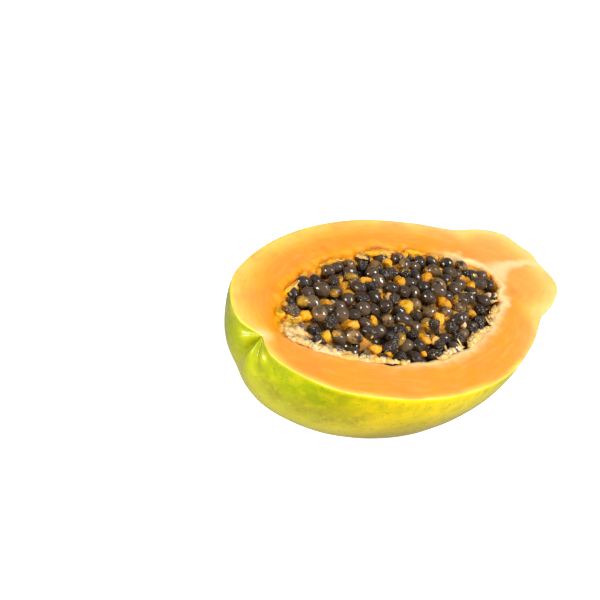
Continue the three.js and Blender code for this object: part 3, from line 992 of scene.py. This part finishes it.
# %% Seed coats
def seed_coat():
    """Wet papaya seed: a dark brown kernel under a thin clear coat, smooth or crinkled."""
    material, surface = new_material("wet_seed_coat", {
        "Roughness": 0.35,
        "IOR": 1.33,
        "Coat Weight": 1.0,
        "Coat Roughness": 0.045,
        "Coat IOR": 1.58,
        "Sheen Weight": 0.16,
        "Sheen Roughness": 0.4,
        "Sheen Tint": linear("#c2985f"),
    })
    place = add_node(material, "ShaderNodeTexCoord", {}, "Object")
    shade, crinkle, husk = (
        add_node(material, "ShaderNodeAttribute", {"attribute_name": key}, "Fac")
        for key in ("shade", "crinkle", "husk")
    )
    base = add_node(material, "ShaderNodeValToRGB", {"Fac": shade, "stops": [
        (0.0, "#1c120c"), (0.3, "#2d2017"), (0.6, "#443325"), (0.88, "#5a4632"), (1.0, "#6e563a"),
    ]})
    base = patches(material, base, place, [(1.6, 3.0, 0.6, 0.42, 0.7, 0.45, "#6a523a")])
    bare = add_node(material, "ShaderNodeMath", {"operation": "MULTIPLY", 0: crinkle, 1: 0.85})
    torn = add_node(material, "ShaderNodeTexNoise",
                    {"Vector": place, "Scale": 1 / (2.4 * MM), "Detail": 4.0, "Roughness": 0.65})
    torn = add_node(material, "ShaderNodeMapRange", {"Value": torn, "From Min": 0.42, "From Max": 0.56})
    torn = add_node(material, "ShaderNodeMath", {"operation": "MULTIPLY", 0: torn, 1: husk})
    for share, over in ((bare, "#20140f"), (torn, "#94703f")):
        base = add_node(material, "ShaderNodeMix", {"data_type": "RGBA", 0: share, 6: base, 7: over}, 2)

    # Soft wrinkles of the coat, and warts of the bare kernel, 0.75 mm apart, where the coat is gone
    warts = add_node(material, "ShaderNodeTexVoronoi",
                     {"feature": "SMOOTH_F1", "Vector": place, "Scale": 1 / (0.75 * MM), "Smoothness": 0.2})
    warts = add_node(material, "ShaderNodeMath", {"operation": "MULTIPLY", 0: warts, 1: crinkle})
    soft = add_node(material, "ShaderNodeTexNoise",
                    {"Vector": place, "Scale": 1 / (1.5 * MM), "Detail": 3.0, "Roughness": 0.45})
    normal = add_node(material, "ShaderNodeBump", {"Distance": 0.28 * MM, "Height": soft})
    normal = add_node(material, "ShaderNodeBump",
                      {"Distance": 0.5 * MM, "Height": warts, "Normal": normal, "invert": True})
    join(surface, {"Base Color": base, "Normal": normal, "Coat Normal": normal})
    return material


# %% Turn and settle
def turned(shapes, heading, tilt):
    """Points of each shape tipped about X by its tilt and then turned about Z by its heading."""
    x, y, z = shapes[..., 0], shapes[..., 1], shapes[..., 2]
    c, s = np.cos(tilt)[:, None], np.sin(tilt)[:, None]
    y, z = y * c - z * s, y * s + z * c
    c, s = np.cos(heading)[:, None], np.sin(heading)[:, None]
    return np.stack([x * c - y * s, x * s + y * c, z], -1)


def settle(centres, radii, rounds=40, furthest=1.5):
    """Pushes overlapping balls apart in small steps, each pair by a third of its overlap."""
    home = centres.copy()
    for _ in range(rounds):
        gap = centres[:, None] - centres[None]
        distance = np.linalg.norm(gap, axis=-1) + np.eye(len(centres)) * 1e3
        overlap = np.clip(radii[:, None] + radii[None] - distance, 0, None)
        centres = centres + (gap / distance[..., None] * overlap[..., None] / 3).sum(1)
        centres = home + np.clip(centres - home, -furthest, furthest)
    return centres


# %% Seed shapes
SEED_LENGTH = 6.5
SEED_WIDTH = 5.1
SEED_TAPER = 0.13
SEED_RIBS = 7
BARE_SEED_SHRINKS = 0.08


def seed_shapes(unit, size, crinkle):
    """An egg a little thinner at one end, with soft ribs along it and swells. A crinkled seed has lost
    its coat, so it is smaller and its surface is pushed in and out by noise."""
    egg = unit * [SEED_WIDTH / 2, SEED_LENGTH / 2, SEED_WIDTH / 2]
    egg[:, [0, 2]] *= 1 - SEED_TAPER * unit[:, 1:2]
    ribs = np.cos(SEED_RIBS * np.arctan2(unit[:, 2], unit[:, 0])) * (1 - unit[:, 1] ** 2)
    seeds = egg[None] * (size * (1 - BARE_SEED_SHRINKS * crinkle))[:, None, None]
    offset = np.arange(len(size))[:, None, None] * np.array([31.0, 17.0, 23.0])
    folds = noise(seeds + offset, 1.2, 12) * crinkle[:, None]
    swells = noise(seeds + offset, 3.4, 13)
    return seeds * (1 + 0.22 * folds + 0.07 * swells + 0.012 * ribs)[..., None]


def seed_heap(name, centres, looks, grid):
    """Many seeds as one mesh. looks has a row a seed: size, heading, tilt, shade, crinkle, husk."""
    unit, numbers = ball(*grid)
    size, heading, tilt, shade, crinkle, husk = looks.T
    seeds = turned(seed_shapes(unit, size, crinkle), heading, tilt) + centres[:, None]
    marks = {"shade": shade, "crinkle": crinkle, "husk": husk}
    attributes = {key: np.repeat(values, len(unit)) for key, values in marks.items()}
    faces = copies(numbers, len(centres), len(unit))
    return mesh_object(name, lay_down(seeds.reshape(-1, 3)), faces, attributes)


# %% The heap that shows
SMALLEST_SEED = 0.9
SEED_SIZE_RANGE = 0.2
SEED_PUSH_RADIUS = 2.75
SEED_TILT = 0.6
CRINKLED_FROM = (0.54, 0.7)
HUSKED_FROM = (0.8, 0.95)

home = on_heap(seed_spots, (draws[:, 1] * 2 - 1) * PILE_JITTER)
sizes = SMALLEST_SEED + SEED_SIZE_RANGE * draws[:, 0]
seed_centres = settle(home, SEED_PUSH_RADIUS * sizes)
print(f"seeds settled by {np.linalg.norm(seed_centres - home, axis=1).mean():.2f} mm on average")

picks = np.array([[next(random) for _ in range(3)] for _ in seed_spots])
looks = np.column_stack([
    sizes, draws[:, 2] * 2 * np.pi, (draws[:, 3] * 2 - 1) * SEED_TILT,
    picks[:, 1], soft_step(*CRINKLED_FROM, picks[:, 0]), soft_step(*HUSKED_FROM, picks[:, 2]),
])
seed_finish = seed_coat()
dress(seed_heap("seeds_on_top", seed_centres, looks, (18, 30)), [seed_finish], "seeds")

# %% Seeds further down
LOW_SEED_SPACING = 4.6
LOW_SEED_FROM_WALL = 2.6
LOW_SEED_DROP = 3.6
LOW_SEED_TILT = 0.8

low_spots = scatter(random, TRIES, LOW_SEED_SPACING, LOW_SEED_FROM_WALL, reach=1, avoid=[], clear=0)
low = np.array([[next(random) for _ in range(4)] for _ in low_spots])
low_centres = on_heap(low_spots, low[:, 0] - LOW_SEED_DROP)
# Painted shade: a lower seed gets a darker shade, since one random number sets how deep it lies and its
# shade, up to 0.6
low_looks = np.column_stack([
    SMALLEST_SEED + SEED_SIZE_RANGE * low[:, 1], low[:, 2] * 2 * np.pi, (low[:, 3] * 2 - 1) * LOW_SEED_TILT,
    0.6 * low[:, 0], soft_step(0.5, 0.7, low[:, 1]), 0 * low[:, 0],
])
dress(seed_heap("seeds_below", low_centres, low_looks, (6, 10)), [seed_finish], "seeds")

# %% [markdown]
# ## Pulp between the seeds
# Where the seeds hung, torn tissue is left. It fills the gaps, bright orange chunks stand up between
# the seeds, a few ochre coats whose seed has dropped out lie about, and a crumbly pale band follows
# the rim where the knife dragged the cavity's lining. Sculpting each would take hours, so each kind
# is one formula with random numbers in it: a ball pushed in and out by noise.

# %% Torn pulp
def torn_pulp():
    """Soft wet pulp: translucent, from deep orange to pale peach by its shade, and granular."""
    material, surface = new_material("torn_wet_pulp", {
        "Roughness": 0.42,
        "IOR": 1.35,
        "Subsurface Weight": 0.7,
        "Subsurface Radius": (1.0, 0.7, 0.15),
        "Subsurface Scale": 1.0 * MM,
        "Coat Weight": 0.1,
        "Coat Roughness": 0.15,
        "Coat IOR": 1.36,
    })
    place = add_node(material, "ShaderNodeTexCoord", {}, "Object")
    shade = add_node(material, "ShaderNodeAttribute", {"attribute_name": "shade"}, "Fac")
    colour = add_node(material, "ShaderNodeValToRGB", {"Fac": shade, "stops": [
        (0.0, "#3c2410"), (0.15, "#8a5c1a"), (0.3, "#cc8c1c"), (0.42, "#f6a60e"), (0.58, "#fab224"),
        (0.72, "#f2b868"), (0.85, "#f0c288"), (1.0, "#f5d4a8"),
    ]})
    colour = patches(material, colour, place, [(1.8, 3.0, 0.6, 0.48, 0.72, 0.28, "#fdce8a")])
    grains = add_node(material, "ShaderNodeTexVoronoi", {"Vector": place, "Scale": 1 / (0.6 * MM)})
    grit = add_node(material, "ShaderNodeTexNoise",
                    {"Vector": place, "Scale": 1 / (1.1 * MM), "Detail": 4.0, "Roughness": 0.7})
    normal = add_node(material, "ShaderNodeBump", {"Distance": 0.14 * MM, "Height": grit})
    normal = add_node(material, "ShaderNodeBump",
                      {"Distance": 0.05 * MM, "Height": grains, "Normal": normal, "invert": True})
    join(surface, {"Base Color": colour, "Normal": normal})
    return material


PULP = torn_pulp()


# %% An empty seed coat
def jelly_coat():
    """An empty seed coat: round, ochre, and clear enough that light gathers in it."""
    material, surface = new_material("empty_jelly_coat", {
        "Roughness": 0.2,
        "IOR": 1.36,
        "Subsurface Weight": 0.7,
        "Subsurface Radius": (1.0, 0.6, 0.12),
        "Subsurface Scale": 2.2 * MM,
        "Coat Weight": 0.8,
        "Coat Roughness": 0.1,
    })
    place = add_node(material, "ShaderNodeTexCoord", {}, "Object")
    clouds = add_node(material, "ShaderNodeTexNoise",
                      {"Vector": place, "Scale": 1 / (1.5 * MM), "Detail": 3.0})
    colour = add_node(material, "ShaderNodeValToRGB", {"Fac": clouds, "stops": [
        (0.35, "#86641c"), (0.55, "#b0862a"), (0.75, "#d6aa44"),
    ]})
    normal = add_node(material, "ShaderNodeBump", {"Distance": 0.2 * MM, "Height": clouds})
    join(surface, {"Base Color": colour, "Normal": normal})
    return material


# %% The lining between the seeds
LINING_GAP = 0.6
LINING_DROP = 1.6
LINING_THICKNESS = 1.5
LINING_DIP = 0.3
LINING_SHADE = 0.18
LINING_BUMPS = [(1.5, 4.2, 40), (0.8, 1.9, 41), (0.3, 0.9, 42)]
LINING_TINTS = [(0.24, 5.5, 43), (0.12, 2.1, 44), (0.05, 0.9, 45)]


def lining(around=240, steps=60):
    """A thin closed bed just under the middles of the seeds: rings from its centre to the wall and
    back underneath. Its top follows the heap's height, pushed up and down by noise."""
    share = np.linspace(0, 1, steps + 1)[1:, None]
    angle = 2 * np.pi * np.arange(around)[None] / around
    across = np.sign(np.sin(angle)) * np.abs(np.sin(angle)) ** CAVITY_POINT
    x = CAVITY_CENTRE_X + (CAVITY_HALF_LENGTH - LINING_GAP) * share * np.cos(angle)
    y = bow(x) + (CAVITY_HALF_WIDTH - LINING_GAP) * share * across
    bumps = waves(np.stack([x, y, 0 * x], -1), LINING_BUMPS)
    top = np.stack([x, y, pile_height(x, y) - LINING_DROP + bumps], -1)
    thickness = np.array([0, 0, LINING_THICKNESS])
    under = top[::-1] - thickness
    middle = np.array([[CAVITY_CENTRE_X, bow(CAVITY_CENTRE_X), PILE_MIDDLE - LINING_DROP - LINING_DIP]])
    points = np.vstack([middle, top.reshape(-1, 3), under.reshape(-1, 3), middle - thickness])
    rings = 1 + np.arange(2 * steps * around).reshape(2 * steps, around)
    numbers = np.vstack([np.full(around, 0), rings, np.full(around, len(points) - 1)])
    numbers = np.hstack([numbers, numbers[:, :1]])
    # Painted shade: the lining's shade rises by 0.12 a millimetre over 2 mm of height, so it is darker the
    # lower it lies between the seeds
    shade = LINING_SHADE + waves(points, LINING_TINTS) + 0.12 * np.clip(points[:, 2] + 1.5, 0, 2)
    attributes = {"shade": np.clip(shade, 0, 1)}
    return mesh_object("torn_lining", lay_down(points), faces_of(numbers), attributes)


dress(lining(), [PULP])


# %% Lumps
def lumps(name, centres, radii, shade, rough, grain, grid, material, seed):
    """Many torn lumps as one mesh. Each is a ball stretched at random, whose radius is pushed by noise
    of three sizes: the coarse two give knobs and notches, and the finest is its grain."""
    maker = np.random.default_rng(seed)
    unit, numbers = ball(*grid)
    count = len(centres)
    stretch = maker.uniform(0.7, 1.35, (count, 1, 3)) * [1, 1, 0.85]
    shapes = unit[None] * radii[:, None, None]
    offset = maker.uniform(-500, 500, (count, 1, 3))
    knobs = [(rough, 2.6, seed), (rough / 2, 1.1, seed + 1), (grain, 0.6, seed + 2)]
    shapes = shapes * (1 + waves(shapes + offset, knobs))[..., None] * stretch
    shapes = turned(shapes, maker.uniform(0, 2 * np.pi, count), maker.uniform(-0.8, 0.8, count))
    points = (shapes + centres[:, None]).reshape(-1, 3)
    tint = np.repeat(shade, len(unit)) + 0.12 * noise(points, 1.4, seed + 3)
    faces = copies(numbers, count, len(unit))
    piece = mesh_object(name, lay_down(points), faces, {"shade": np.clip(tint, 0, 1)})
    dress(piece, [material])


# %% Chunks and empty coats
maker = np.random.default_rng(5)
large = on_heap(strand_spots, maker.uniform(-1.3, 0.1, len(strand_spots)))
lumps("pulp_chunks", large, maker.uniform(2.0, 3.0, len(large)), maker.uniform(0.36, 0.6, len(large)),
      rough=0.33, grain=0.02, grid=(24, 36), material=PULP, seed=50)

small = scatter(random, most=60, spacing=5.0, margin=2.0, reach=1, avoid=strand_spots, clear=4)
small = on_heap(small, maker.uniform(-2.4, 0.2, len(small)))
lumps("pulp_bits", small, maker.uniform(1.0, 1.9, len(small)), maker.uniform(0.2, 0.95, len(small)),
      rough=0.42, grain=0.06, grid=(16, 24), material=PULP, seed=60)

EMPTY_COAT_RADIUS = 2.3
empty = scatter(random, most=10, spacing=14.0, margin=5, reach=0.9, avoid=strand_spots, clear=4)
empty = on_heap(empty, 0.3)
lumps("empty_coats", empty, np.full(len(empty), EMPTY_COAT_RADIUS), np.zeros(len(empty)),
      rough=0.12, grain=0.02, grid=(16, 24), material=jelly_coat(), seed=70)

# %% The plug at the flower end
PLUG_X = 13
PLUG_HALF_LENGTH = 6.5
PLUG_HALF_WIDTH = 12
PLUG_LUMPS = 60
PLUG_TIP = {"x": 11.5, "half_width": 0.6, "taper": 0.75}
PLUG_LEVEL = -2.2
PLUG_SLOPE = -0.1

x = PLUG_X + maker.uniform(0.4, 1.6, PLUG_LUMPS) * PLUG_HALF_LENGTH
aside = maker.uniform(-1, 0.9, PLUG_LUMPS)
widening = PLUG_TIP["taper"] * (x - PLUG_TIP["x"]) + PLUG_TIP["half_width"]
y = bow(x) + aside * np.minimum(widening, PLUG_HALF_WIDTH)
level = PLUG_LEVEL + PLUG_SLOPE * (x - PLUG_X)
plug = np.column_stack([x, y, level + maker.uniform(-0.8, 0.8, PLUG_LUMPS)])
shade = np.where(aside > 0, maker.uniform(0.5, 0.78, PLUG_LUMPS), maker.uniform(0.66, 0.9, PLUG_LUMPS))
lumps("end_plug", plug, maker.uniform(1.4, 2.6, PLUG_LUMPS), shade,
      rough=0.5, grain=0.16, grid=(26, 38), material=PULP, seed=80)

# %% Lumps along the far rim
FAR_LUMPS = 16
FAR_LUMPS_PUSH = -1.8
FAR_LUMPS_DROP = 2.2
angle = np.radians(np.linspace(40, 166, FAR_LUMPS) + maker.uniform(-5, 5, FAR_LUMPS))
far = cavity(angle, 0 * angle, FAR_LUMPS_PUSH) - [0, 0, FAR_LUMPS_DROP]
far = far + maker.uniform(-0.5, 0.5, (FAR_LUMPS, 3))
lumps("far_rim_lumps", far, maker.uniform(1.5, 2.8, FAR_LUMPS), maker.uniform(0.4, 0.66, FAR_LUMPS),
      rough=0.3, grain=0.05, grid=(20, 30), material=PULP, seed=85)

# %% [markdown]
# ## Crumbs along the rim
# The near rim carries a bead of pale crumbs: thick near the flower end, thin in the middle and thick
# again towards the stem end. A tube with strong noise gives the bead its bulk, and hundreds of small
# crumbs of a few dozen faces on top of it give its grain.

# %% How thick the bead is
CRUMB_BANDS = [
    # angle round the cavity in degrees, half width in degrees, thickness in mm
    (204, 11, 1.7), (222, 12, 1.7), (240, 10, 1.1), (256, 8, 0.5), (273, 7, 1.0),
    (293, 8, 1.5), (314, 9, 1.0), (335, 8, 0.4),
]
PULP_BANDS = [
    (134, 7, 0.7), (116, 9, 1.6), (98, 7, 1.5), (76, 10, 1.5), (50, 12, 1.4), (22, 12, 0.9),
]


def bead_thickness(angle, bands):
    """A sum of bells round the cavity, one for each band."""
    away = [(np.degrees(angle) - at + 180) % 360 - 180 for at, _, _ in bands]
    bells = [size * np.exp(-((a / half) ** 2)) for a, (_, half, size) in zip(away, bands)]
    return np.sum(bells, axis=0)


def into_cavity(angle):
    """The level direction that points into the cavity, square to its rim: a quarter turn from the
    direction along it."""
    step = cavity(angle + 1e-3, 0 * angle) - cavity(angle - 1e-3, 0 * angle)
    into = np.stack([-step[..., 1], step[..., 0], 0 * angle], -1)
    return into / np.linalg.norm(into, axis=-1, keepdims=True)


print("the bead at 213, 256 and 293 degrees:",
      bead_thickness(np.radians([213, 256, 293]), CRUMB_BANDS).round(2), "mm thick")


# %% The beads
def rim_bead(name, bands, level, knob, around=1100, ring=20):
    """A tube along the rim whose thickness is the bead's, pushed in and out by strong noise on the
    side of the seeds and hidden in the wall where the bead fades out."""
    angle = 2 * np.pi * np.arange(around) / around
    rim = cavity(angle, 0 * angle)
    into = into_cavity(angle)
    thick = np.clip(bead_thickness(angle, bands) * (0.75 + 0.8 * noise(rim, 5, 20)), 0.2, None)
    # Below 0.7 mm the bead fades out, and it sinks into the wall
    hidden = soft_step(0.7, 0.3, thick)
    centre = rim + into * (0.6 * thick - hidden)[:, None]
    centre[:, 2] -= 0.35 * (1 + thick) + 2.5 * hidden
    turn = 2 * np.pi * np.arange(ring) / ring
    out = into[:, None] * np.cos(turn)[None, :, None] + np.array([0, 0, 1]) * np.sin(turn)[None, :, None]
    base = centre[:, None] + out * thick[:, None, None] * [1.1, 1.1, 0.75]
    knobs = waves(base, [(0.6, knob, 21), (0.4, knob / 2, 22), (0.15, 0.5, 23)])
    free = 0.25 + 0.75 * soft_step(-0.6, 0.4, np.cos(turn))
    tube = base + out * (knobs * free * np.minimum(thick, 1.4)[:, None])[..., None]
    numbers = np.arange(around * ring).reshape(around, ring)
    numbers = np.vstack([numbers, numbers[:1]])
    numbers = np.hstack([numbers, numbers[:, :1]])
    shade = np.repeat(level + 0.16 * noise(rim, 4, 24), ring) + 0.1 * noise(tube.reshape(-1, 3), 1.2, 27)
    attributes = {"shade": np.clip(shade, 0, 1)}
    return mesh_object(name, lay_down(tube.reshape(-1, 3)), faces_of(numbers[:, ::-1]), attributes)


dress(rim_bead("crumb_bead", CRUMB_BANDS, level=0.74, knob=2.0), [PULP])
dress(rim_bead("far_rim_pulp", PULP_BANDS, level=0.54, knob=3.0), [PULP])

# %% Loose crumbs
CRUMB_THROWS = 9000
CRUMBS = 300

throw = np.random.default_rng(12)
angle = throw.uniform(0, 2 * np.pi, CRUMB_THROWS)
thick = bead_thickness(angle, CRUMB_BANDS)
angle = angle[throw.uniform(0.5, 2.6, len(angle)) < thick][:CRUMBS]
thick = bead_thickness(angle, CRUMB_BANDS)
inside = throw.uniform(0.5, 1.9, len(angle)) * thick
crumbs = cavity(angle, 0 * angle) + into_cavity(angle) * inside[:, None]
crumbs[:, 2] += throw.uniform(-0.5, 0.45, len(angle)) * np.minimum(thick, 1.6) - 0.25 - 0.2 * inside
lumps("rim_crumbs", crumbs, throw.uniform(0.4, 1.3, len(angle)), throw.uniform(0.68, 0.94, len(angle)),
      rough=0.4, grain=0.15, grid=(6, 9), material=PULP, seed=90)


# %% [markdown]
# ## Shreds and fibres
# A few thin tongues of the lining stand out from the rim, and pale fibres, on which the seeds hung,
# cross the heap. A tongue is a strip that narrows to its tip and curls up. A Solidify modifier gives it
# its thickness, because a strip with no thickness has no inside for light to scatter in.

# %% Strips
def strips(name, roots, headings, lengths, widths, rise, thickness, seed):
    """Tongues from their roots: s runs from 0 to 1 along each, its width is times 1 - s to the power
    1.6, and its height is rise times s squared."""
    maker = np.random.default_rng(seed)
    along, wide = 12, 5
    count = len(roots)
    s, w = np.meshgrid(np.linspace(0, 1, along), np.linspace(-0.5, 0.5, wide), indexing="ij")
    aside = widths[:, None, None] * w * (1 - 0.9 * s**1.6)
    ahead = lengths[:, None, None] * s
    up = (rise * lengths)[:, None, None] * s**2 + 0.2 * np.cos(5 * w)
    c, d = np.cos(headings)[:, None, None], np.sin(headings)[:, None, None]
    sheet = np.stack([ahead * c - aside * d, ahead * d + aside * c, up], -1) + roots[:, None, None]
    sheet += np.stack([0.45 * noise(sheet, 1.5, seed + k) for k in range(3)], -1)
    numbers = np.arange(along * wide).reshape(along, wide)
    shade = np.repeat(maker.uniform(0.62, 0.95, count), along * wide)
    faces = copies(numbers, count, along * wide)
    piece = mesh_object(name, lay_down(sheet.reshape(-1, 3)), faces, {"shade": shade})
    thick = piece.modifiers.new("thickness", "SOLIDIFY")
    thick.thickness = thickness * MM
    thick.offset = 0
    dress(piece, [PULP])


# %% Shreds of the lining
SHREDS = 26
angle = np.radians(np.concatenate([maker.uniform(205, 335, 20), maker.uniform(40, 140, 6)]))
roots = cavity(angle, 0 * angle, -0.6) - [0, 0, 0.5]
middle = np.stack([CAVITY_CENTRE_X - roots[:, 0], bow(roots[:, 0]) - roots[:, 1]], -1)
headings = np.arctan2(middle[:, 1], middle[:, 0]) + maker.uniform(-0.9, 0.9, SHREDS)
strips("lining_shreds", roots, headings, maker.uniform(1.8, 4.6, SHREDS), maker.uniform(0.6, 2.4, SHREDS),
       maker.uniform(0.05, 0.45, SHREDS), thickness=0.3, seed=30)

# %% Fibres across the heap
FIBRES = 14
start = scatter(random, FIBRES, spacing=7.0, margin=3.0, reach=1, avoid=[], clear=0)
start = on_heap(start, maker.uniform(-0.5, 1.4, len(start)))
strips("pulp_fibres", start, maker.uniform(0, 2 * np.pi, len(start)), maker.uniform(3, 7, len(start)),
       maker.uniform(0.25, 1.3, len(start)), maker.uniform(-0.15, 0.15, len(start)),
       thickness=0.25, seed=35)

# %% [markdown]
# ## Finish
# The imported model's box and the scene's box are printed side by side. The visual model has to stay as
# large as the imported one.

# %% Print the sizes and finish
sizes = {"cad": [list(corner) for corner in CAD_BOX], "scene": [list(corner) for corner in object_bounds()]}
print(sizes)
